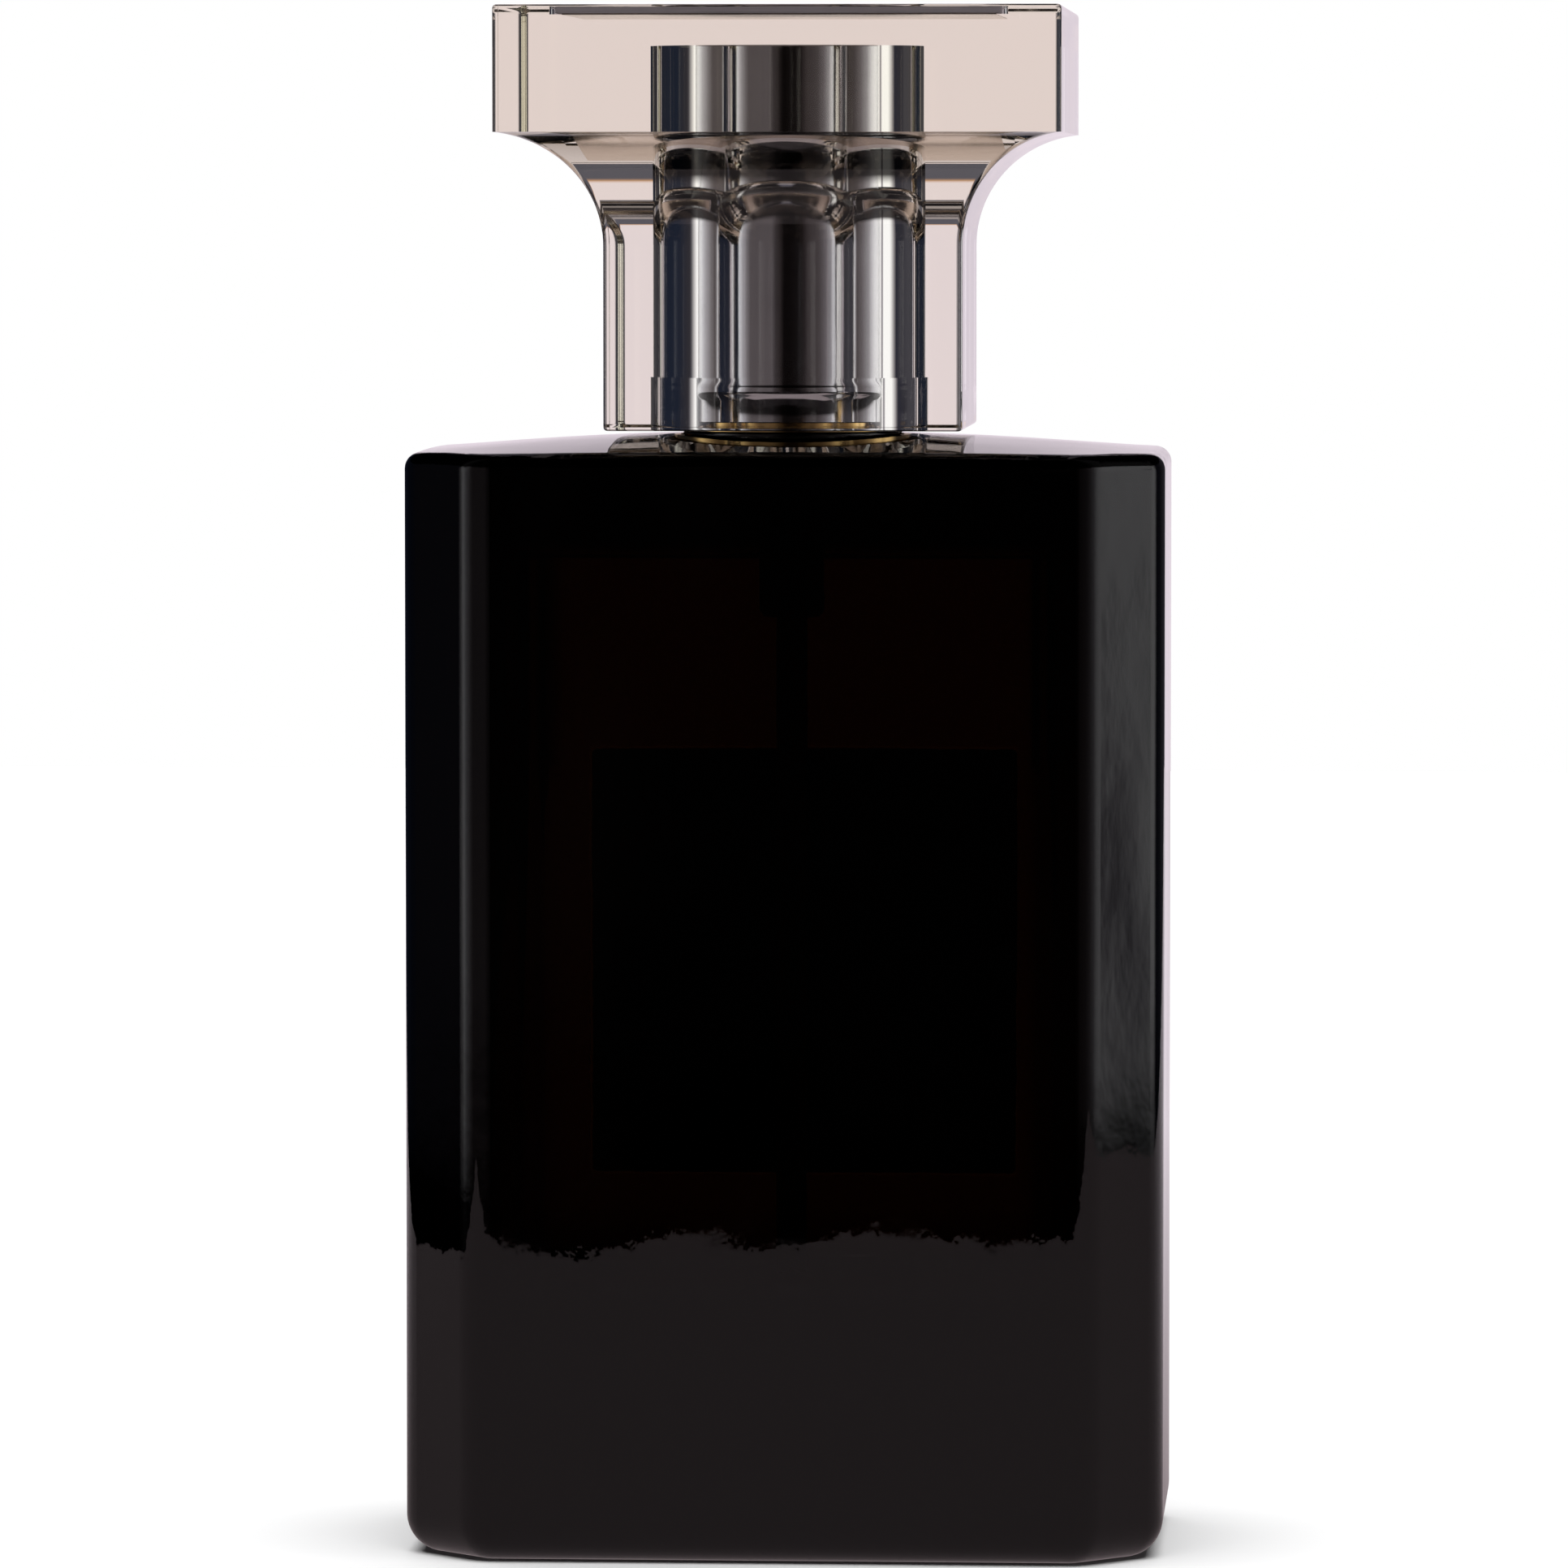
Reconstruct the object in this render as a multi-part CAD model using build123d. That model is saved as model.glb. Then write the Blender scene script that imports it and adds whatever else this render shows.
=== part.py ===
# Spray flacon for aftershave: a thick-walled glass bottle with a crimped
# spray pump, a round actuator in a collar, and a clear T-shaped cap that is
# pushed over the collar.
# Millimetres. The origin is the centre of the base, +Z is up, and the label
# plate is on the +Y face.
import os

from build123d import *

# ---- bottle ----------------------------------------------------------------
body_width = 51.0             # along X
body_depth = 32.0             # along Y
corner_chamfer = 5.0          # the four upright corners are cut at 45 degrees
corner_round = 3.0            # soft edges beside each cut corner
shoulder_z = 74.0             # height of the shoulder at its rim
shoulder_crown = 1.4          # rise of the shoulder towards the neck
shoulder_round = 1.1
heel_round = 2.6
push_up_depth = 0.5           # hollow under the base
push_up_inset = 4.5           # width of the ring that the bottle stands on

wall_x = 3.2
wall_y = 3.2
base_thickness = 15.0
ceiling_z = 68.8              # top of the inside, under the shoulder
cavity_corner = 6.5
cavity_bottom_round = 6.0
cavity_top_round = 1.8

# ---- neck, 15 mm crimp finish ----------------------------------------------
neck_radius = 6.55
bead_radius = 7.2
bead_low_z = 77.6
mouth_z = 81.2
bore_radius = 4.6

# ---- label plate -----------------------------------------------------------
label_side = 29.5
label_z = 38.2
label_plate_thickness = 0.38
label_glue_thickness = 0.10
label_recess_depth = 0.48
label_gap = 0.2

# ---- pump ------------------------------------------------------------------
gasket_thickness = 0.7
flange_thickness = 0.7
flange_radius = 6.8
ferrule_wall = 0.35
ferrule_radius = 7.62
collar_radius = 8.05
collar_wall = 0.35
collar_low_z = 75.45
collar_top_z = 88.2
collar_mouth_radius = 6.7

housing_radius = 3.9
chamber_radius = 3.0
chamber_floor_z = 70.4
housing_floor_thickness = 0.6
tail_radius = 2.2
tail_low_z = 62.8
ball_radius = 0.8
ball_cage_radius = 0.95
ball_seat_radius = 0.5
tube_outer_radius = 1.05
tube_inner_radius = 0.6
tube_low_z = 16.2
tube_socket_top_z = 66.4
tube_notch = 1.1

guide_low_z = 79.6
guide_top_z = 84.2
guide_neck_radius = 3.4
running_clearance = 0.06

stem_radius = 1.6
stem_bore_radius = 0.7
stem_top_z = 92.4
stem_spigot_radius = 1.2
piston_top_z = 79.2
piston_height = 2.6
spring_wire_radius = 0.2
spring_radius = 2.1
spring_turns = 4.5

# ---- actuator --------------------------------------------------------------
actuator_radius = 6.3
actuator_low_z = 87.5
actuator_top_z = 95.6
actuator_wall = 0.4
nozzle_z = 91.9
nozzle_radius = 1.9
nozzle_length = 2.1
nozzle_seat_y = 3.9           # floor of the nozzle's pocket
orifice_radius = 0.15

# ---- cap -------------------------------------------------------------------
head_width = 37.6             # along X
head_depth = 37.6             # along Y
head_low_z = 95.5
cap_top_z = 103.9
stem_width = 24.0
stem_depth = 24.0
cap_low_z = 75.6
cove_radius = 7.6             # hollow curve from the stem of the cap to its head
cap_edge_round = 0.35
cap_foot_round = 0.25
cap_bore_radius = 9.2
cap_step_radius = 9.38        # wider mouth of the bore, for the sleeve's bead
cap_step_z = 79.1

sleeve_radius = 9.15
sleeve_wall = 0.35
sleeve_low_z = 76.1
sleeve_top_z = 101.3
sleeve_bead_radius = 9.33
sleeve_bead_low_z = 77.6
sleeve_bead_high_z = 78.9
liner_bore_radius = 8.15      # 0.10 mm clear of the pump collar
liner_low_z = 76.5
liner_top_thickness = 0.6

top_plate_width = 29.8        # along X
top_plate_depth = 29.8        # along Y
top_plate_thickness = 0.4
top_plate_drop = 0.15         # the plate lies this far under the cap's rim
top_glue_thickness = 0.1
top_plate_gap = 0.3

# ---- values that follow from the sizes above ---------------------------------
crown_z = shoulder_z + shoulder_crown
gasket_top_z = mouth_z + gasket_thickness
flange_top_z = gasket_top_z + flange_thickness
ferrule_top_z = flange_top_z + ferrule_wall
sleeve_bore_radius = sleeve_radius - sleeve_wall
liner_top_z = sleeve_top_z - sleeve_wall
top_plate_z = cap_top_z - top_plate_drop
cap_recess_z = top_plate_z - top_plate_thickness - top_glue_thickness
ball_z = chamber_floor_z - housing_floor_thickness - 0.86
piston_low_z = piston_top_z - piston_height
poppet_low_z = piston_low_z - 0.5


def turned(points):
    """A solid of revolution about Z from (radius, height) points."""
    outline = Polyline(*[(r, 0, z) for r, z in points], close=True)
    return revolve(make_face(outline), Axis.Z, 360)


def disc(radius, low_z, high_z, x=0.0, y=0.0):
    """An upright cylinder between two heights."""
    return Pos(x, y, (low_z + high_z) / 2) * Cylinder(radius, high_z - low_z)


def slab(width, depth, low_z, high_z):
    """An upright square-cornered block, centred on Z."""
    return Pos(0, 0, (low_z + high_z) / 2) * Box(width, depth, high_z - low_z)


def write(node, shape):
    """One STEP file for one piece."""
    shape.label = node
    export_step(shape, f"parts/{node}.step")


def upright_edges(solid, longer_than):
    """The long edges of a solid that run along Z."""
    return [e for e in solid.edges().filter_by(Axis.Z) if e.length > longer_than]


# ---- bottle pieces -----------------------------------------------------------
def bottle_outline():
    """The footprint: a rectangle with its corners cut at 45 degrees."""
    half_x = body_width / 2
    half_y = body_depth / 2
    inner_x = half_x - corner_chamfer
    inner_y = half_y - corner_chamfer
    points = [(-inner_x, -half_y), (inner_x, -half_y), (half_x, -inner_y), (half_x, inner_y),
              (inner_x, half_y), (-inner_x, half_y), (-half_x, inner_y), (-half_x, -inner_y)]
    return make_face(Polyline(*points, close=True))


def above_shoulder():
    """Everything above the pillow-shaped top of the shoulder."""
    half_x = body_width / 2 + 1
    half_y = body_depth / 2 + 1
    rows = []
    for x in (-half_x, 0, half_x):
        row = []
        for y in (-half_y, 0, half_y):
            # four times the crown at the middle control point gives the crown itself
            lift = 4 * shoulder_crown if x == 0 and y == 0 else 0
            row.append(Vector(x, y, shoulder_z + lift))
        rows.append(row)
    return Solid.extrude(Face.make_bezier_surface(rows), Vector(0, 0, 20))


def glass_body():
    """The outside of the bottle below the neck."""
    body = extrude(bottle_outline(), shoulder_z + 5)
    body = fillet(upright_edges(body, 40), corner_round)
    body -= above_shoulder()
    top_face = body.faces().sort_by(Axis.Z)[-1]
    body = fillet(top_face.edges(), shoulder_round)
    bottom_face = body.faces().sort_by(Axis.Z)[0]
    return fillet(bottom_face.edges(), heel_round)


def glass_neck():
    """The crimp neck: a waist, then the bead that the ferrule grips."""
    return turned([(0, shoulder_z - 1), (neck_radius + 0.9, shoulder_z - 1),
                   (neck_radius + 0.9, crown_z - 0.1), (neck_radius, crown_z + 0.6),
                   (neck_radius, bead_low_z - 0.5), (bead_radius, bead_low_z + 0.3),
                   (bead_radius, mouth_z - 0.8), (bead_radius - 0.6, mouth_z), (0, mouth_z)])


def glass_cavity():
    """The inside of the bottle, with a softly rounded floor."""
    cavity = slab(body_width - 2 * wall_x, body_depth - 2 * wall_y, base_thickness, ceiling_z)
    cavity = fillet(upright_edges(cavity, 40), cavity_corner)
    cavity = fillet(cavity.faces().sort_by(Axis.Z)[0].edges(), cavity_bottom_round)
    return fillet(cavity.faces().sort_by(Axis.Z)[-1].edges(), cavity_top_round)


def glass_bottle():
    """One piece of moulded glass, open only at the neck."""
    glass = glass_body() + glass_neck()
    glass -= glass_cavity()
    glass -= disc(bore_radius, ceiling_z - 2, mouth_z + 1)
    push_up = slab(body_width - 2 * push_up_inset, body_depth - 2 * push_up_inset, -1, push_up_depth)
    glass -= fillet(upright_edges(push_up, 1), 3)
    recess_side = label_side + 2 * label_gap
    recess = Box(recess_side, label_recess_depth, recess_side)
    glass -= Pos(0, body_depth / 2 - label_recess_depth / 2, label_z) * recess
    return glass


def label_plate():
    """A blank metal plate that lies flush in its recess."""
    plate = Box(label_side, label_plate_thickness, label_side)
    plate = fillet(plate.edges().filter_by(Axis.Y), 0.4)
    return Pos(0, body_depth / 2 - label_plate_thickness / 2, label_z) * plate


def label_glue():
    """The adhesive film behind the label plate."""
    side = label_side - 1
    y = body_depth / 2 - label_plate_thickness - label_glue_thickness / 2
    return Pos(0, y, label_z) * Box(side, label_glue_thickness, side)


# ---- pump pieces -------------------------------------------------------------
def neck_gasket():
    """The flat washer between the glass mouth and the pump flange."""
    return turned([(housing_radius + 0.1, mouth_z), (flange_radius, mouth_z),
                   (flange_radius, gasket_top_z), (housing_radius + 0.1, gasket_top_z)])


def crimp_ferrule():
    """The aluminium cup, rolled in under the glass bead."""
    inner = ferrule_radius - ferrule_wall
    grip = neck_radius + 0.2
    return turned([(guide_neck_radius + 0.1, flange_top_z), (inner, flange_top_z),
                   (inner, bead_low_z - 0.2), (grip, bead_low_z - 0.9),
                   (grip, bead_low_z - 0.9 - ferrule_wall), (ferrule_radius, bead_low_z - 0.35),
                   (ferrule_radius, ferrule_top_z - 0.3), (ferrule_radius - 0.3, ferrule_top_z),
                   (guide_neck_radius + 0.1, ferrule_top_z)])


def pump_collar():
    """The bright collar that hides the ferrule and guides the actuator."""
    inner = ferrule_radius
    lip_z = collar_top_z - collar_wall
    return turned([(inner, collar_low_z), (collar_radius, collar_low_z),
                   (collar_radius, collar_top_z - 0.4), (collar_radius - 0.4, collar_top_z),
                   (collar_mouth_radius + 0.2, collar_top_z), (collar_mouth_radius, collar_top_z - 0.2),
                   (collar_mouth_radius, lip_z - 0.5), (collar_mouth_radius + 0.35, lip_z - 0.5),
                   (collar_mouth_radius + 0.35, lip_z), (inner, lip_z)])


def pump_housing():
    """The pump cylinder: a flange, the metering chamber, the ball cage and the tube socket."""
    outer = turned([(0, tail_low_z), (tail_radius - 0.3, tail_low_z), (tail_radius, tail_low_z + 0.4),
                    (tail_radius, chamber_floor_z - 1.4), (housing_radius, chamber_floor_z - 0.6),
                    (housing_radius, gasket_top_z), (flange_radius, gasket_top_z),
                    (flange_radius, flange_top_z), (0, flange_top_z)])
    cage_low_z = ball_z - ball_radius
    cage_high_z = chamber_floor_z - housing_floor_thickness + 0.3
    hollow = turned([(0, tail_low_z - 1), (tube_outer_radius, tail_low_z - 1),
                     (tube_outer_radius, tube_socket_top_z), (ball_seat_radius, tube_socket_top_z),
                     (ball_seat_radius, cage_low_z + 0.12), (ball_cage_radius, cage_low_z + 0.57),
                     (ball_cage_radius, cage_high_z), (ball_radius - 0.2, cage_high_z),
                     (ball_radius - 0.2, chamber_floor_z), (chamber_radius, chamber_floor_z),
                     (chamber_radius, flange_top_z + 1), (0, flange_top_z + 1)])
    return outer - hollow


def stem_guide():
    """The plug that closes the pump housing and guides the stem."""
    bore = stem_radius + running_clearance
    return turned([(bore, guide_low_z), (chamber_radius, guide_low_z), (chamber_radius, flange_top_z),
                   (guide_neck_radius, flange_top_z), (guide_neck_radius, guide_top_z - 0.3),
                   (guide_neck_radius - 0.3, guide_top_z), (bore, guide_top_z)])


def inlet_ball():
    """The steel ball of the inlet valve."""
    return Pos(0, 0, ball_z) * Sphere(ball_radius)


def dip_tube():
    """The suction tube, cut with a notch at its foot so the floor can't close it."""
    tube = disc(tube_outer_radius, tube_low_z, tube_socket_top_z)
    tube -= disc(tube_inner_radius, tube_low_z - 1, tube_socket_top_z + 1)
    notch = Rot(0, 45, 0) * Box(tube_notch, 4 * tube_outer_radius, tube_notch)
    return tube - Pos(0, 0, tube_low_z) * notch


def pump_stem():
    """The hollow stem that carries the actuator and pushes the piston."""
    stem = turned([(0, piston_low_z), (stem_spigot_radius, piston_low_z),
                   (stem_spigot_radius, piston_top_z), (stem_radius, piston_top_z),
                   (stem_radius, stem_top_z - 0.3), (stem_radius - 0.3, stem_top_z), (0, stem_top_z)])
    stem -= disc(stem_bore_radius, piston_low_z - 1, stem_top_z + 1)
    port = Cylinder(0.3, 4 * stem_radius, rotation=(90, 0, 0))
    return stem - Pos(0, 0, piston_top_z + 0.2 - 0.6) * port


def piston():
    """The sealing piston, with a thin lip at each end."""
    seal = chamber_radius - 0.03
    waist = chamber_radius - 0.3
    return turned([(stem_spigot_radius, piston_low_z), (seal - 0.4, piston_low_z),
                   (seal, piston_low_z + 0.3), (seal, piston_low_z + 0.6),
                   (waist, piston_low_z + 0.9), (waist, piston_top_z - 0.9),
                   (seal, piston_top_z - 0.6), (seal, piston_top_z - 0.3),
                   (seal - 0.4, piston_top_z), (stem_spigot_radius, piston_top_z)])


def valve_poppet():
    """The plug in the foot of the stem: the spring's upper seat and the outlet valve."""
    return turned([(0, poppet_low_z), (spring_radius + 0.4, poppet_low_z),
                   (spring_radius + 0.4, piston_low_z), (stem_bore_radius, piston_low_z),
                   (stem_bore_radius, piston_low_z + 1.2), (0, piston_low_z + 1.6)])


def return_spring():
    """The coil spring between the chamber floor and the poppet."""
    low_z = chamber_floor_z + spring_wire_radius + 0.05
    height = poppet_low_z - spring_wire_radius - 0.05 - low_z
    path = Pos(0, 0, low_z) * Helix(height / spring_turns, height, spring_radius)
    profile = Plane(origin=path @ 0, z_dir=path % 0) * Circle(spring_wire_radius)
    return sweep(profile, path, is_frenet=True)


# ---- actuator pieces ---------------------------------------------------------
def nozzle_bore():
    """The pocket for the nozzle, on the label side of the actuator."""
    reach = 2 * nozzle_length
    return Pos(0, nozzle_seat_y + reach / 2, nozzle_z) * Cylinder(
        nozzle_radius, reach, rotation=(90, 0, 0))


def actuator_shell():
    """The thin metal cap of the actuator, closed at the top."""
    inner = actuator_radius - actuator_wall
    rim_z = actuator_top_z - 0.9
    shell = turned([(inner, actuator_low_z), (actuator_radius, actuator_low_z),
                    (actuator_radius, rim_z), (actuator_radius - 0.25, actuator_top_z - 0.3),
                    (actuator_radius - 0.9, actuator_top_z), (0, actuator_top_z - 0.25),
                    (0, actuator_top_z - 0.25 - actuator_wall), (inner, rim_z)])
    return shell - nozzle_bore()


def actuator_core():
    """The plastic core: the stem socket, the channel to the nozzle and a hollow skirt."""
    radius = actuator_radius - actuator_wall
    core = disc(radius, actuator_low_z + 0.4, actuator_top_z - 0.95)
    core -= disc(radius - 1.0, actuator_low_z - 1, stem_top_z - 2.7)
    socket = disc(stem_radius + 0.9, actuator_low_z + 0.8, stem_top_z)
    core += socket
    core -= disc(stem_radius, actuator_low_z - 1, stem_top_z)
    core -= disc(stem_bore_radius, stem_top_z - 1, nozzle_z + 1)
    core -= nozzle_bore()
    return core


def nozzle_insert():
    """The swirl nozzle: a cup with a fine orifice, pressed into the actuator."""
    outer = Cylinder(nozzle_radius, nozzle_length, rotation=(90, 0, 0))
    outer -= Cylinder(orifice_radius, 3 * nozzle_length, rotation=(90, 0, 0))
    dish = Cone(0.3, 1.3, 0.6, rotation=(-90, 0, 0))
    outer -= Pos(0, nozzle_length / 2 - 0.3, 0) * dish
    return Pos(0, nozzle_seat_y + nozzle_length / 2, nozzle_z) * outer


# ---- cap pieces --------------------------------------------------------------
def cap_elevation(head, stem):
    """The cap seen from one side: a stem that opens into the wider head by a cove."""
    half_head = head / 2
    half_stem = stem / 2
    centre_x = half_stem + cove_radius
    rise = (cove_radius ** 2 - (centre_x - half_head) ** 2) ** 0.5
    cove_low_z = head_low_z - rise
    middle_x = centre_x - cove_radius * 0.7071
    middle_z = cove_low_z + cove_radius * 0.7071
    right = [Line((half_stem, cap_low_z), (half_stem, cove_low_z)),
             ThreePointArc((half_stem, cove_low_z), (middle_x, middle_z), (half_head, head_low_z)),
             Line((half_head, head_low_z), (half_head, cap_top_z))]
    left = [edge.mirror(Plane.YZ) for edge in right]
    ends = [Line((-half_head, cap_top_z), (half_head, cap_top_z)),
            Line((-half_stem, cap_low_z), (half_stem, cap_low_z))]
    return make_face(right + left + ends)


def cap_block():
    """The clear block: a rectangular head and stem joined by a cove on all four sides."""
    front = extrude(Plane.XZ * cap_elevation(head_width, stem_width), head_depth / 2, both=True)
    side = extrude(Plane.YZ * cap_elevation(head_depth, stem_depth), head_width / 2, both=True)
    block = front & side
    head_edges = [e for e in block.edges().filter_by(Axis.Z) if e.center().Z > head_low_z]
    block = fillet(head_edges, cap_edge_round)
    block = fillet(block.faces().sort_by(Axis.Z)[-1].edges(), cap_edge_round)
    block = fillet(block.faces().sort_by(Axis.Z)[0].edges(), cap_foot_round)
    block -= disc(cap_bore_radius, cap_low_z - 1, sleeve_top_z)
    block -= disc(cap_step_radius, cap_low_z - 1, cap_step_z)
    block -= slab(top_plate_width + 2 * top_plate_gap, top_plate_depth + 2 * top_plate_gap,
                  cap_recess_z, cap_top_z + 1)
    return block


def cap_sleeve():
    """The polished metal cup inside the cap, with a rolled bead near its mouth."""
    middle_z = (sleeve_bead_low_z + sleeve_bead_high_z) / 2
    return turned([(sleeve_bore_radius, sleeve_low_z), (sleeve_radius, sleeve_low_z),
                   (sleeve_radius, sleeve_bead_low_z), (sleeve_bead_radius, middle_z - 0.3),
                   (sleeve_bead_radius, middle_z + 0.3), (sleeve_radius, sleeve_bead_high_z),
                   (sleeve_radius, sleeve_top_z - 0.25), (sleeve_radius - 0.25, sleeve_top_z),
                   (0, sleeve_top_z), (0, liner_top_z), (sleeve_bore_radius, liner_top_z)])


def cap_liner():
    """The plastic liner that grips the pump collar, with a lead-in at its mouth."""
    roof_z = liner_top_z - liner_top_thickness
    return turned([(liner_bore_radius + 0.35, liner_low_z), (sleeve_bore_radius, liner_low_z),
                   (sleeve_bore_radius, liner_top_z), (0, liner_top_z), (0, roof_z),
                   (liner_bore_radius, roof_z), (liner_bore_radius, liner_low_z + 0.6)])


def cap_top_plate():
    """The thin plate that is let into the top of the cap."""
    low_z = top_plate_z - top_plate_thickness
    plate = slab(top_plate_width, top_plate_depth, low_z, top_plate_z)
    return fillet(upright_edges(plate, 0.1), 0.3)


def cap_plate_glue():
    """The adhesive film under the top plate."""
    high_z = cap_recess_z + top_glue_thickness
    return slab(top_plate_width - 1, top_plate_depth - 1, cap_recess_z, high_z)


pieces = {
    "glass_bottle": glass_bottle,
    "label_plate": label_plate,
    "label_glue": label_glue,
    "neck_gasket": neck_gasket,
    "crimp_ferrule": crimp_ferrule,
    "pump_collar": pump_collar,
    "pump_housing": pump_housing,
    "stem_guide": stem_guide,
    "inlet_ball": inlet_ball,
    "dip_tube": dip_tube,
    "pump_stem": pump_stem,
    "piston": piston,
    "valve_poppet": valve_poppet,
    "return_spring": return_spring,
    "actuator_shell": actuator_shell,
    "actuator_core": actuator_core,
    "nozzle_insert": nozzle_insert,
    "cap_block": cap_block,
    "cap_sleeve": cap_sleeve,
    "cap_liner": cap_liner,
    "cap_top_plate": cap_top_plate,
    "cap_plate_glue": cap_plate_glue,
}

os.makedirs("parts", exist_ok=True)
for node, make in pieces.items():
    write(node, make())
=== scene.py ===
"""The aftershave flacon's looks: dark amber glass, a gold crimped spray pump and a clear acrylic cap.

Metres, in the CAD frame: the origin is the centre of the base, +Z is up, the label plate is on +Y.
"""
import math

import bmesh
import bpy
from mathutils import Matrix, Vector


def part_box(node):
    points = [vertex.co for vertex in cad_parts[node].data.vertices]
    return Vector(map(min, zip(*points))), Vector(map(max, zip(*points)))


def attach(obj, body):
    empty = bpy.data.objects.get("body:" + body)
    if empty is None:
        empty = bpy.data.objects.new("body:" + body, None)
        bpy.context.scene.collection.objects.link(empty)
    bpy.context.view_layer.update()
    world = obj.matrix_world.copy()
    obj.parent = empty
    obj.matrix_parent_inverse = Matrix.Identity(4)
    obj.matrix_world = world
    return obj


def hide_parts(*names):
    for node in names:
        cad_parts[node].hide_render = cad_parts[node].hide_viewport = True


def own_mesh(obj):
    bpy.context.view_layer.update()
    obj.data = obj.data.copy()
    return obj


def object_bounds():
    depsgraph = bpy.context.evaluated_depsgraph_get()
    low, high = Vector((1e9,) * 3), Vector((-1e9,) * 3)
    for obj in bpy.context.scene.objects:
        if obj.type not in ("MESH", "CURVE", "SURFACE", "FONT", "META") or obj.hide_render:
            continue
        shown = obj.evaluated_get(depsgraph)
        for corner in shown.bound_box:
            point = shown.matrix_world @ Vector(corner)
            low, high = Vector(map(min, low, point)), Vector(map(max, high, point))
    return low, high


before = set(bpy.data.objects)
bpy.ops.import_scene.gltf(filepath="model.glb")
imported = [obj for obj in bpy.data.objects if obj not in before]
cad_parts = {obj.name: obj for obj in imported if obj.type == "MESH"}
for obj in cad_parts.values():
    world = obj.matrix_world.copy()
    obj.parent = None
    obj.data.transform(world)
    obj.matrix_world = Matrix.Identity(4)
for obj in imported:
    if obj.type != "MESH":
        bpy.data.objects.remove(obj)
cad_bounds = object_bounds()

MM = 0.001
FULL_TURN = 2 * math.pi
SHARP_ANGLE = math.radians(32)    # edges that turn more than this stay crisp
SPIN_STEPS = 144                  # facets round the visible turned pieces


# ---- camera ------------------------------------------------------------------
CAMERA_DISTANCE = 0.670
CAMERA_AZIMUTH = math.radians(3.46)    # towards +X from straight in front
CAMERA_ELEVATION = math.radians(3.4)
CAMERA_AIM_X = -0.6 * MM
CAMERA_AIM_HEIGHT = 0.494              # share of the object's height
CAMERA_LENS = 226                      # millimetres, on a 36 mm sensor


def place_camera():
    """A long lens, a little above the middle of the bottle and a little to its right."""
    low, high = cad_bounds
    aim = Vector((CAMERA_AIM_X, 0, low.z + CAMERA_AIM_HEIGHT * (high.z - low.z)))
    level = math.cos(CAMERA_ELEVATION)
    back = Vector((math.sin(CAMERA_AZIMUTH) * level, -math.cos(CAMERA_AZIMUTH) * level,
                   math.sin(CAMERA_ELEVATION)))
    data = bpy.data.cameras.new("camera")
    data.lens = CAMERA_LENS
    data.sensor_width = 36
    data.clip_start = 0.01
    camera = bpy.data.objects.new("camera", data)
    camera.location = aim + CAMERA_DISTANCE * back
    camera.rotation_euler = back.to_track_quat("Z", "Y").to_euler()
    bpy.context.scene.collection.objects.link(camera)
    bpy.context.scene.camera = camera


# ---- node helpers --------------------------------------------------------------
def add(tree, kind, inputs=None, **settings):
    """A shader node with its settings and the values of its unlinked inputs."""
    made = tree.nodes.new("ShaderNode" + kind)
    for key, value in settings.items():
        setattr(made, key, value)
    for key, value in (inputs or {}).items():
        made.inputs[key].default_value = value
    return made


def join(tree, source, output, target, socket):
    """A link from one node's output to another node's input."""
    tree.links.new(source.outputs[output], target.inputs[socket])


def calculate(tree, operation, first, second):
    """A Math node; each operand is a number or a (node, output) pair."""
    made = add(tree, "Math", operation=operation)
    for index, operand in enumerate((first, second)):
        if isinstance(operand, tuple):
            join(tree, operand[0], operand[1], made, index)
        else:
            made.inputs[index].default_value = operand
    return made


def set_stops(ramp_node, stops):
    """Sets a colour ramp's stops from (position, colour) pairs; a plain number is a grey."""
    elements = ramp_node.color_ramp.elements
    while len(elements) < len(stops):
        elements.new(0.5)
    for element, (position, colour) in zip(elements, stops):
        element.position = position
        grey = not isinstance(colour, tuple)
        element.color = (colour, colour, colour, 1) if grey else (*colour, 1)


def new_material(name):
    """A material with its node tree and its Principled shader."""
    material = bpy.data.materials.new(name)
    material.use_nodes = True
    tree = material.node_tree
    return material, tree, tree.nodes["Principled BSDF"]


def pattern_space(tree, scale=(1, 1, 1)):
    """Object coordinates, stretched by a Mapping node."""
    coordinates = add(tree, "TexCoord")
    mapping = add(tree, "Mapping", {"Scale": scale})
    join(tree, coordinates, "Object", mapping, "Vector")
    return mapping


def noise(tree, space, scale, detail=3.0, roughness=0.5):
    """A noise texture in a pattern space."""
    made = add(tree, "TexNoise", {"Scale": scale, "Detail": detail, "Roughness": roughness})
    join(tree, space, "Vector", made, "Vector")
    return made


def bump(tree, height, output, distance, below=None):
    """A bump of a height in metres, on top of another bump if one is given."""
    made = add(tree, "Bump", {"Strength": 1.0, "Distance": distance})
    join(tree, height, output, made, "Height")
    if below is not None:
        join(tree, below, "Normal", made, "Normal")
    return made


# ---- studio ----------------------------------------------------------------------
SOFT_BOX = (1.05, 1.04, 1.06)
DARK_ROOM = (0.012, 0.016, 0.030)
CAMERA_SIDE = (0.004, 0.003, 0.003)
SIDE_WALL = (0.108, 0.092, 0.096)
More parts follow.
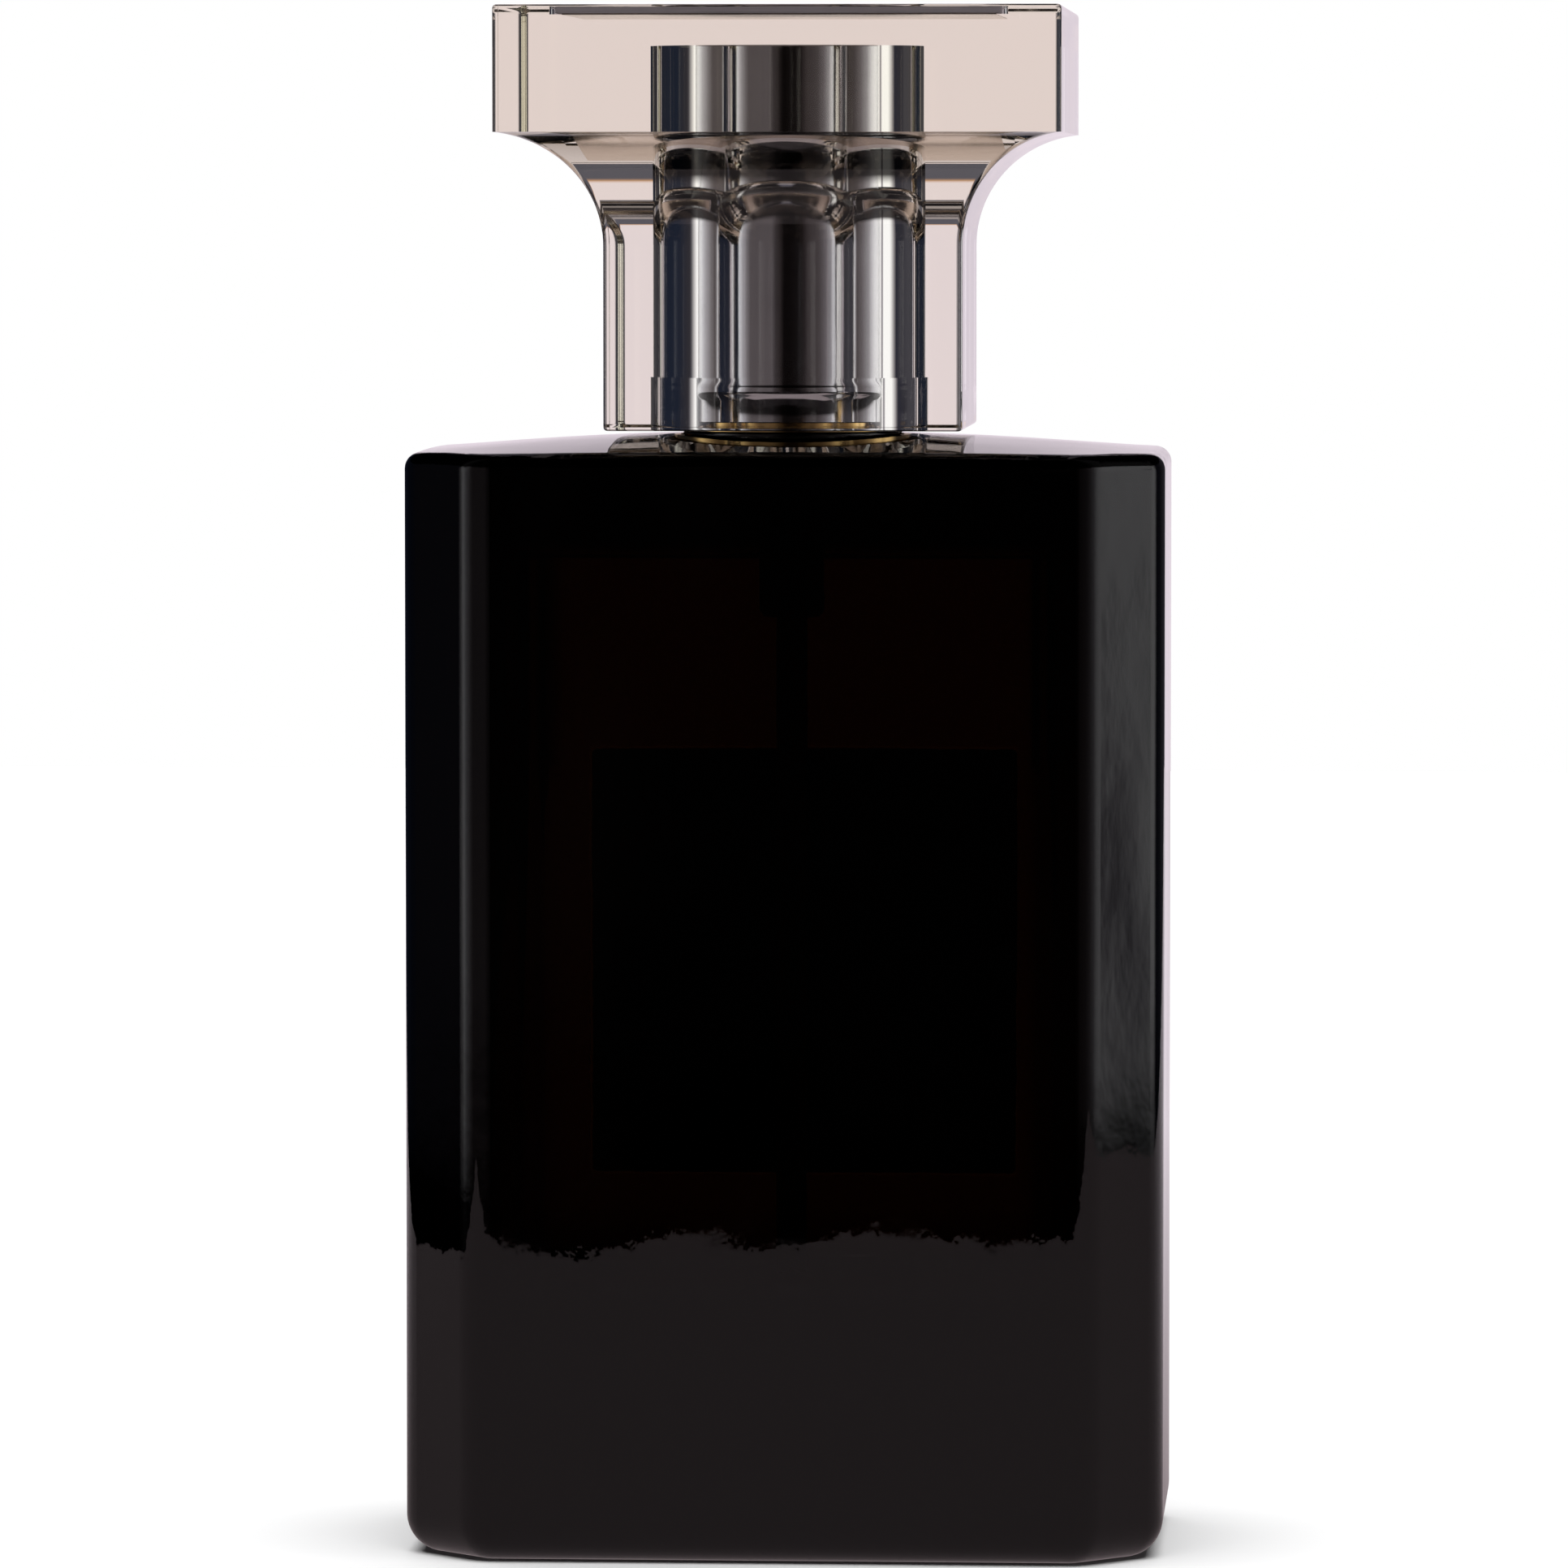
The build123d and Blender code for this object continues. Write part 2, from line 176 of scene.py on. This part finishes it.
# the room seen from the bottle, by degrees from the camera side towards +X
ROOM_BY_AZIMUTH = [
    (-150, DARK_ROOM), (-112, DARK_ROOM), (-92, (0.030, 0.028, 0.036)),
    (-89, (0.08, 0.075, 0.09)), (-83, (0.60, 0.58, 0.60)), (-79, SOFT_BOX), (-75, (0.88, 0.88, 0.92)),
    (-68, (0.52, 0.50, 0.53)), (-57, (0.22, 0.20, 0.21)), (-50, SIDE_WALL), (-19, SIDE_WALL),
    (-15, (0.048, 0.040, 0.042)), (-9, (0.028, 0.022, 0.022)), (-4, CAMERA_SIDE), (15, CAMERA_SIDE),
    (20, (0.010, 0.007, 0.007)), (28, (0.045, 0.036, 0.037)), (44, (0.075, 0.063, 0.065)),
    (55, (0.16, 0.14, 0.15)), (66, (0.36, 0.34, 0.36)), (74, (0.82, 0.80, 0.83)), (82, SOFT_BOX),
    (84.5, SOFT_BOX), (85.2, (0.30, 0.28, 0.31)), (88.0, (0.30, 0.28, 0.31)),
    (88.7, SOFT_BOX), (100, SOFT_BOX), (108, (0.30, 0.28, 0.30)), (112, (0.025, 0.025, 0.038)),
    (128, (0.030, 0.029, 0.038)), (137, (0.055, 0.053, 0.065)),
]
# how much of that is seen at each sine of the elevation: dark below the boxes and overhead
ROOM_BY_HEIGHT = [(-0.10, 0.02), (-0.082, 1.0), (0.30, 1.0), (0.36, 0.05)]
# behind the bottle: the pale backdrop with its warm top edge, the wall above it, and the ceiling
BACKDROP = (0.84, 0.745, 0.82)
BACKDROP_EDGE = (0.62, 0.36, 0.22)
BACK_WALL = (0.100, 0.098, 0.130)
DIM_WALL = (0.35, 0.31, 0.33)
BACK_BY_HEIGHT = [(-0.3, BACKDROP), (0.308, BACKDROP), (0.318, BACKDROP_EDGE), (0.332, BACK_WALL),
                  (0.445, BACK_WALL), (0.475, DIM_WALL), (0.62, DIM_WALL), (0.66, BACK_WALL),
                  (0.80, BACK_WALL), (0.90, DIM_WALL)]
BACK_EDGES = [(-180, 1.0), (-172, 1.0), (-165, 0.0), (166, 0.0), (172, 1.0), (180, 1.0)]


def ramp_over(tree, source, stops):
    """A colour ramp over a Math node's value; the stops' positions run from 0 to 1."""
    ramp = add(tree, "ValToRGB")
    set_stops(ramp, stops)
    join(tree, source, "Value", ramp, "Fac")
    return ramp


def mixed(tree, kind, share, first, second):
    """A colour mix; the share is a number or a node's colour output."""
    mix = add(tree, "MixRGB", {"Fac": 1.0}, blend_type=kind)
    if share is not None:
        join(tree, share, 0, mix, "Fac")
    join(tree, first, "Color", mix, "Color1")
    join(tree, second, "Color", mix, "Color2")
    return mix


def light_room():
    """A plain white surround for the camera, and a dim studio with two soft boxes for reflections."""
    world = bpy.data.worlds.new("studio")
    bpy.context.scene.world = world
    world.use_nodes = True
    tree = world.node_tree
    tree.nodes.clear()
    coordinates = add(tree, "TexCoord")
    axes = add(tree, "SeparateXYZ")
    join(tree, coordinates, "Generated", axes, "Vector")
    forward = calculate(tree, "MULTIPLY", (axes, "Y"), -1)
    azimuth = calculate(tree, "ARCTAN2", (axes, "X"), (forward, "Value"))
    turn = calculate(tree, "DIVIDE", (azimuth, "Value"), FULL_TURN)
    turn = calculate(tree, "ADD", (turn, "Value"), 0.5)
    rise = calculate(tree, "ADD", (axes, "Z"), 1)
    rise = calculate(tree, "DIVIDE", (rise, "Value"), 2)

    def by_azimuth(stops):
        return ramp_over(tree, turn, [((degrees + 180) / 360, colour) for degrees, colour in stops])

    def by_height(stops):
        return ramp_over(tree, rise, [((sine + 1) / 2, colour) for sine, colour in stops])

    sides = mixed(tree, "MULTIPLY", None, by_azimuth(ROOM_BY_AZIMUTH), by_height(ROOM_BY_HEIGHT))
    room = mixed(tree, "MIX", by_azimuth(BACK_EDGES), sides, by_height(BACK_BY_HEIGHT))
    surround = add(tree, "MixRGB", {"Color2": (1, 1, 1, 1)})
    join(tree, add(tree, "LightPath"), "Is Camera Ray", surround, "Fac")
    join(tree, room, "Color", surround, "Color1")
    background = add(tree, "Background")
    join(tree, surround, "Color", background, "Color")
    join(tree, background, "Background", add(tree, "OutputWorld"), "Surface")


OVERHEAD_STRENGTH = 4.15
OVERHEAD_SPREAD = math.radians(70)


def hang_overhead_light():
    """A wide soft light from straight above, kept out of reflections, that lights the floor."""
    data = bpy.data.lights.new("overhead_light", "SUN")
    data.energy = OVERHEAD_STRENGTH
    data.angle = OVERHEAD_SPREAD
    light = bpy.data.objects.new("overhead_light", data)
    light.visible_glossy = False
    light.visible_transmission = False
    light.visible_camera = False
    bpy.context.scene.collection.objects.link(light)


FLOOR_FRONT = 0.230                 # from the middle of the bottle to the floor's edges
FLOOR_LEFT = 0.216
FLOOR_RIGHT = 0.300
FLOOR_BACK = 0.900
FLOOR_WHITE = (0.95, 0.95, 0.95, 1)
FLOOR_NEAR_PAINTED_SHADE = (0.29, 0.24, 0.25)     # painted shade: in reflections and through glass the floor is a glow, dimmer in front of the bottle
# painted light: the glow the floor gives in reflections and through glass, further back
FLOOR_FAR_PAINTED_GLOW = (0.80, 0.72, 0.78)
FLOOR_PAINTED_SHADE_FADE = 0.30                   # the distance over which the painted shade brightens to the painted glow further back


def lay_floor():
    """The plain pale floor: white diffuse to the camera, and in reflections and through glass a
    painted glow, darker in front of the bottle as painted shade.
    """
    mesh = bmesh.new()
    bmesh.ops.create_grid(mesh, x_segments=1, y_segments=1, size=0.5)
    width = FLOOR_LEFT + FLOOR_RIGHT
    depth = FLOOR_FRONT + FLOOR_BACK
    bmesh.ops.scale(mesh, vec=(width, depth, 1), verts=mesh.verts)
    centre = ((FLOOR_RIGHT - FLOOR_LEFT) / 2, (FLOOR_BACK - FLOOR_FRONT) / 2, 0)
    bmesh.ops.translate(mesh, vec=centre, verts=mesh.verts)
    floor = as_object("floor", mesh)
    material, tree, shader = new_material("pale_floor_painted_glow")
    axes = add(tree, "SeparateXYZ")
    join(tree, add(tree, "TexCoord"), "Object", axes, "Vector")
    distance = calculate(tree, "DIVIDE", (axes, "Y"), FLOOR_PAINTED_SHADE_FADE)
    tone = ramp_over(tree, distance, [(0.0, FLOOR_NEAR_PAINTED_SHADE), (1.0, FLOOR_FAR_PAINTED_GLOW)])
    tree.nodes.remove(shader)
    # painted glow and painted shade: reflections and glass see an emission here, not the lit floor
    dim = add(tree, "Emission")
    join(tree, tone, "Color", dim, "Color")
    white = add(tree, "BsdfDiffuse", {"Color": FLOOR_WHITE})
    mix = add(tree, "MixShader")
    join(tree, add(tree, "LightPath"), "Is Camera Ray", mix, "Fac")
    join(tree, dim, "Emission", mix, 1)
    join(tree, white, "BSDF", mix, 2)
    join(tree, mix, "Shader", tree.nodes["Material Output"], "Surface")
    floor.data.materials.append(material)


# ---- finishes ----------------------------------------------------------------------
def dark_amber_glass():
    """Moulded glass so deep an amber that it looks black, with a slightly rippled surface."""
    material, tree, shader = new_material("dark_amber_glass")
    shader.inputs["Transmission Weight"].default_value = 1.0
    shader.inputs["IOR"].default_value = 1.51
    shader.inputs["Base Color"].default_value = (1, 1, 1, 1)
    space = pattern_space(tree, (1, 1, 0.6))
    swell = bump(tree, noise(tree, space, 70, 1.0), "Fac", 180e-6)
    ripple = bump(tree, noise(tree, space, 700, 3.0), "Fac", 5.0e-6, swell)
    join(tree, ripple, "Normal", shader, "Normal")
    smears = noise(tree, space, 260, 5.0, 0.65)
    haze = add(tree, "MapRange", {"From Min": 0.45, "From Max": 0.85, "To Min": 0.012, "To Max": 0.05})
    join(tree, smears, "Fac", haze, "Value")
    join(tree, haze, "Result", shader, "Roughness")
    amber = add(tree, "VolumeAbsorption", {"Color": (0.43, 0.28, 0.06, 1), "Density": 1700})
    join(tree, amber, "Volume", tree.nodes["Material Output"], "Volume")
    return material


def clear_acrylic():
    """Polished acrylic with a faint warm tint."""
    material, tree, shader = new_material("clear_acrylic")
    shader.inputs["Transmission Weight"].default_value = 1.0
    shader.inputs["IOR"].default_value = 1.49
    shader.inputs["Base Color"].default_value = (1, 1, 1, 1)
    space = pattern_space(tree)
    fine = noise(tree, space, 500, 4.0, 0.6)
    haze = add(tree, "MapRange", {"From Min": 0.5, "From Max": 0.8, "To Min": 0.0, "To Max": 0.03})
    join(tree, fine, "Fac", haze, "Value")
    join(tree, haze, "Result", shader, "Roughness")
    ripple = bump(tree, noise(tree, space, 120, 1.0), "Fac", 3e-6)
    join(tree, ripple, "Normal", shader, "Normal")
    tint = add(tree, "VolumeAbsorption", {"Color": (0.841, 0.677, 0.067, 1), "Density": 7.5})
    join(tree, tint, "Volume", tree.nodes["Material Output"], "Volume")
    return material


def turned_metal(name, colour, roughness, scratch_depth):
    """Bright metal with fine upright scratches and slightly uneven polish."""
    material, tree, shader = new_material(name)
    shader.inputs["Metallic"].default_value = 1.0
    space = pattern_space(tree, (1, 1, 0.02))
    scratches = noise(tree, space, 6000, 2.0, 0.7)
    wide = pattern_space(tree)
    clouds = noise(tree, wide, 220, 4.0, 0.6)
    polish = add(tree, "MapRange", {"From Min": 0.3, "From Max": 0.8, "To Min": roughness,
                                    "To Max": 1.8 * roughness})
    join(tree, clouds, "Fac", polish, "Value")
    join(tree, polish, "Result", shader, "Roughness")
    tone = add(tree, "ValToRGB")
    dull = tuple(0.93 * channel for channel in colour)
    set_stops(tone, [(0.35, dull), (0.65, colour)])
    join(tree, clouds, "Fac", tone, "Fac")
    join(tree, tone, "Color", shader, "Base Color")
    grooves = bump(tree, scratches, "Fac", scratch_depth)
    join(tree, grooves, "Normal", shader, "Normal")
    return material


def brushed_metal(name, colour, roughness, metallic=1.0):
    """Metal brushed along X."""
    material, tree, shader = new_material(name)
    shader.inputs["Metallic"].default_value = metallic
    brushing = noise(tree, pattern_space(tree, (0.02, 1, 1)), 9000, 3.0, 0.6)
    tone = add(tree, "ValToRGB")
    dull = tuple(0.8 * channel for channel in colour)
    set_stops(tone, [(0.3, dull), (0.7, colour)])
    join(tree, brushing, "Fac", tone, "Fac")
    join(tree, tone, "Color", shader, "Base Color")
    polish = add(tree, "MapRange", {"To Min": roughness, "To Max": 1.6 * roughness})
    join(tree, brushing, "Fac", polish, "Value")
    join(tree, polish, "Result", shader, "Roughness")
    grooves = bump(tree, brushing, "Fac", 3e-6)
    join(tree, grooves, "Normal", shader, "Normal")
    return material


def moulded_plastic(name, colour, roughness, clear=0.0):
    """Moulded plastic with a fine satin grain."""
    material, tree, shader = new_material(name)
    space = pattern_space(tree)
    grain = noise(tree, space, 4000, 2.0)
    flow = noise(tree, space, 150, 3.0)
    tone = add(tree, "ValToRGB")
    shade = tuple(0.88 * channel for channel in colour)
    set_stops(tone, [(0.3, shade), (0.7, colour)])
    join(tree, flow, "Fac", tone, "Fac")
    join(tree, tone, "Color", shader, "Base Color")
    shader.inputs["Roughness"].default_value = roughness
    shader.inputs["Transmission Weight"].default_value = clear
    surface = bump(tree, grain, "Fac", 2e-6)
    join(tree, surface, "Normal", shader, "Normal")
    return material


# ---- shapes ----------------------------------------------------------------------
def as_object(name, mesh):
    """A bmesh made into an object at the origin, smooth except across sharp edges."""
    for face in mesh.faces:
        face.smooth = True
    for edge in mesh.edges:
        if edge.is_manifold:
            edge.smooth = edge.calc_face_angle() < SHARP_ANGLE
    data = bpy.data.meshes.new(name)
    mesh.to_mesh(data)
    mesh.free()
    made = bpy.data.objects.new(name, data)
    bpy.context.scene.collection.objects.link(made)
    return made


def bevel_edges(mesh, edges, width, segments=3):
    """Rounds edges of a bmesh."""
    bmesh.ops.bevel(mesh, geom=edges, offset=width, segments=segments, profile=0.5,
                    affect="EDGES", material=-1)


def sharp_edges(mesh):
    """The edges of a bmesh that turn more than the sharp angle."""
    return [e for e in mesh.edges if e.is_manifold and e.calc_face_angle() > SHARP_ANGLE]


def turned(outline, edge_round):
    """A closed turned solid: (radius, height) points spun about Z, with its edges rounded."""
    mesh = bmesh.new()
    verts = [mesh.verts.new((radius, 0, height)) for radius, height in outline]
    edges = [mesh.edges.new(pair) for pair in zip(verts, verts[1:] + verts[:1])]
    bmesh.ops.spin(mesh, geom=verts + edges, cent=(0, 0, 0), axis=(0, 0, 1), angle=FULL_TURN,
                   steps=SPIN_STEPS, use_merge=True, use_duplicate=False)
    bmesh.ops.remove_doubles(mesh, verts=mesh.verts, dist=1e-7)
    bmesh.ops.recalc_face_normals(mesh, faces=mesh.faces)
    bevel_edges(mesh, sharp_edges(mesh), edge_round)
    return mesh


def finish_piece(piece, body, node, material):
    """Gives a new piece its finish, and puts it in the place of a CAD node."""
    piece.data.materials.append(material)
    weighted = piece.modifiers.new("flat_faces", "WEIGHTED_NORMAL")
    weighted.keep_sharp = True
    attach(piece, body)
    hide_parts(node)
    return piece


# ---- cap ---------------------------------------------------------------------------
STEM_HALF = 12.0 * MM
HEAD_HEIGHT = 8.4 * MM
COVE_RADIUS = 7.6 * MM
COVE_STEPS = 28
CAP_CORNER = 0.5 * MM              # on the upright edges
CAP_EDGE = 0.25 * MM               # round the top and the foot
BORE_CLEARANCE = 0.05 * MM
BORE_STEP_HEIGHT = 3.5 * MM
PLATE_GAP = 0.3 * MM
GLUE_SINK = 0.02 * MM              # the adhesive wets the recess floor
BORE_STEPS = 128
SLEEVE_WALL = 0.35 * MM
SLEEVE_EDGE = 0.08 * MM
SLEEVE_BEAD = 0.18 * MM            # how far the bead stands out
BEAD_LOW = 1.5 * MM                # above the sleeve's mouth
BEAD_HIGH = 2.8 * MM
BEAD_CREST = 0.3 * MM              # half the flat of the bead


def cove_half(height, head_half, head_low):
    """Half the width of the cap at a height: the stem, the hollow curve, then the head."""
    centre = STEM_HALF + COVE_RADIUS
    rise = math.sqrt(COVE_RADIUS ** 2 - (centre - head_half) ** 2)
    above = height - (head_low - rise)
    if above <= 0:
        return STEM_HALF
    return centre - math.sqrt(COVE_RADIUS ** 2 - min(above, rise) ** 2)


def spread(verts, grow, lift):
    """Moves the corners of a square ring apart and up, without changing how they are rounded."""
    for vert in verts:
        vert.co.x += grow if vert.co.x > 0 else -grow
        vert.co.y += grow if vert.co.y > 0 else -grow
        vert.co.z += lift


def next_ring(mesh, ring, grow, lift):
    """Extrudes a closed loop of edges one step."""
    made = bmesh.ops.extrude_edge_only(mesh, edges=ring)["geom"]
    new_verts = {g for g in made if isinstance(g, bmesh.types.BMVert)}
    spread(new_verts, grow, lift)
    return [g for g in made if isinstance(g, bmesh.types.BMEdge) and set(g.verts) <= new_verts]


def rounded_square(mesh, half, height, corner):
    """A square face with rounded corners."""
    made = bmesh.ops.create_grid(mesh, x_segments=1, y_segments=1, size=half)
    bmesh.ops.translate(mesh, vec=(0, 0, height), verts=made["verts"])
    bmesh.ops.bevel(mesh, geom=made["verts"], offset=corner, segments=4, profile=0.5,
                    affect="VERTICES", material=-1)


def circle_loop(mesh, radius, height):
    """A loop of edges round Z."""
    made = bmesh.ops.create_circle(mesh, cap_ends=False, segments=BORE_STEPS, radius=radius,
                                   matrix=Matrix.Translation((0, 0, height)))
    return list(dict.fromkeys(e for v in made["verts"] for e in v.link_edges))


def extrude_circle(mesh, edges, radius, height):
    """Extrudes a round loop to another radius and height, and returns the new loop."""
    made = bmesh.ops.extrude_edge_only(mesh, edges=edges)["geom"]
    for vert in (g for g in made if isinstance(g, bmesh.types.BMVert)):
        flat = Vector((vert.co.x, vert.co.y, 0)).normalized() * radius
        vert.co = (flat.x, flat.y, height)
    return [g for g in made if isinstance(g, bmesh.types.BMEdge)]


def close_loop(mesh, edges):
    """Fills a loop of edges with one face."""
    bmesh.ops.contextual_create(mesh, geom=edges)


def cap_block(material):
    """The clear block: stem, cove and head, with the blind bore and the recess for the plate."""
    low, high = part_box("cap_block")
    sleeve_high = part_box("cap_sleeve")[1]
    plate_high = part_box("cap_top_plate")[1]
    glue_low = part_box("cap_plate_glue")[0]
    head_low = high.z - HEAD_HEIGHT
    mesh = bmesh.new()
    rounded_square(mesh, STEM_HALF, low.z, CAP_CORNER)
    foot = list(mesh.faces)[0]
    outer = list(foot.edges)
    bmesh.ops.delete(mesh, geom=[foot], context="FACES_ONLY")
    levels = [low.z]
    for step in range(COVE_STEPS + 1):
        turn = math.pi / 2 * step / COVE_STEPS
        levels.append(head_low - COVE_RADIUS + COVE_RADIUS * math.sin(turn))
    half = STEM_HALF
    ring = outer
    for before, after in zip(levels, levels[1:]):
        next_half = cove_half(after, high.x, head_low)
        ring = next_ring(mesh, ring, next_half - half, after - before)
        half = next_half
    rim = next_ring(mesh, ring, 0, high.z - head_low)
    ring = next_ring(mesh, rim, plate_high.x + PLATE_GAP - high.x, 0)
    ring = next_ring(mesh, ring, 0, glue_low.z + GLUE_SINK - high.z)
    close_loop(mesh, ring)
    bore = sleeve_high.x + BORE_CLEARANCE
    narrow = bore - SLEEVE_BEAD
    mouth = circle_loop(mesh, bore, low.z)
    bmesh.ops.bridge_loops(mesh, edges=outer + mouth)
    loop = extrude_circle(mesh, mouth, bore, low.z + BORE_STEP_HEIGHT)
    loop = extrude_circle(mesh, loop, narrow, low.z + BORE_STEP_HEIGHT)
    loop = extrude_circle(mesh, loop, narrow, sleeve_high.z)
    close_loop(mesh, loop)
    bmesh.ops.recalc_face_normals(mesh, faces=mesh.faces)
    bevel_edges(mesh, rim + outer, CAP_EDGE)
    block = as_object("cap_block_clear", mesh)
    return finish_piece(block, "cap", "cap_block", material)


def cap_sleeve(material):
    """The bright cup in the cap, with its rolled bead."""
    low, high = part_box("cap_sleeve")
    outer = high.x - SLEEVE_BEAD
    inner = outer - SLEEVE_WALL
    middle = low.z + (BEAD_LOW + BEAD_HIGH) / 2
    mesh = turned([(inner, low.z), (outer, low.z), (outer, low.z + BEAD_LOW),
                   (high.x, middle - BEAD_CREST), (high.x, middle + BEAD_CREST),
                   (outer, low.z + BEAD_HIGH), (outer, high.z), (0, high.z),
                   (0, high.z - SLEEVE_WALL), (inner, high.z - SLEEVE_WALL)][::-1], SLEEVE_EDGE)
    sleeve = as_object("cap_sleeve_bright", mesh)
    return finish_piece(sleeve, "cap", "cap_sleeve", material)


# ---- pump spring ---------------------------------------------------------------------
def return_spring(material):
    """The pump's spring: a copy of the CAD coil, carried with the plunger."""
    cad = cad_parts["return_spring"]
    mesh = bmesh.new()
    mesh.from_mesh(cad.data)
    mesh.transform(cad.matrix_world)
    bmesh.ops.remove_doubles(mesh, verts=mesh.verts, dist=1e-6)
    bmesh.ops.recalc_face_normals(mesh, faces=mesh.faces)
    spring = as_object("return_spring_coil", mesh)
    spring.data.materials.append(material)
    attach(spring, "plunger")
    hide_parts("return_spring")
    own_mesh(spring)
    return spring


# ---- putting it together ---------------------------------------------------------------
def dress(node, material):
    """Gives a CAD node its finish."""
    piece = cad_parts[node]
    piece.data.materials.clear()
    piece.data.materials.append(material)


place_camera()
light_room()
hang_overhead_light()
lay_floor()

glass = dark_amber_glass()
acrylic = clear_acrylic()
chrome = turned_metal("polished_sleeve", (0.80, 0.80, 0.83), 0.05, 1.5e-6)
gold = turned_metal("gold_anodised", (0.95, 0.64, 0.25), 0.12, 0.5e-6)
aluminium = turned_metal("drawn_aluminium", (0.80, 0.80, 0.80), 0.25, 1e-6)
steel = turned_metal("drawn_steel", (0.60, 0.59, 0.58), 0.2, 0.5e-6)
champagne = brushed_metal("brushed_champagne", (0.72, 0.63, 0.50), 0.28)
silver_plate = brushed_metal("brushed_top_plate", (0.80, 0.74, 0.79), 0.40, 0.5)
natural = moulded_plastic("natural_plastic", (0.80, 0.80, 0.76), 0.4, 0.3)
tube = moulded_plastic("tube_plastic", (0.86, 0.86, 0.83), 0.25, 0.5)
liner = moulded_plastic("liner_plastic", (0.75, 0.75, 0.75), 0.45)
black = moulded_plastic("black_plastic", (0.03, 0.03, 0.03), 0.25)
rubber = moulded_plastic("gasket_rubber", (0.07, 0.07, 0.07), 0.6)
adhesive = moulded_plastic("gold_adhesive", (0.75, 0.56, 0.28), 0.4)
foil = turned_metal("foil_adhesive", (0.88, 0.78, 0.69), 0.15, 0.3e-6)

FINISHES = {
    "glass_bottle": glass, "label_plate": champagne, "label_glue": adhesive,
    "neck_gasket": rubber, "crimp_ferrule": aluminium, "pump_collar": gold,
    "pump_housing": natural, "stem_guide": natural, "inlet_ball": steel, "dip_tube": tube,
    "pump_stem": natural, "piston": natural, "valve_poppet": natural, "return_spring": steel,
    "actuator_shell": gold, "actuator_core": black, "nozzle_insert": black,
    "cap_liner": liner, "cap_top_plate": silver_plate, "cap_plate_glue": foil,
}
for node, material in FINISHES.items():
    dress(node, material)
cap_block(acrylic)
cap_sleeve(chrome)
return_spring(steel)

bpy.context.scene.view_settings.view_transform = "Standard"
bpy.context.scene.cycles.glossy_bounces = 8
bpy.context.scene.cycles.transmission_bounces = 16
bpy.context.scene.cycles.max_bounces = 16
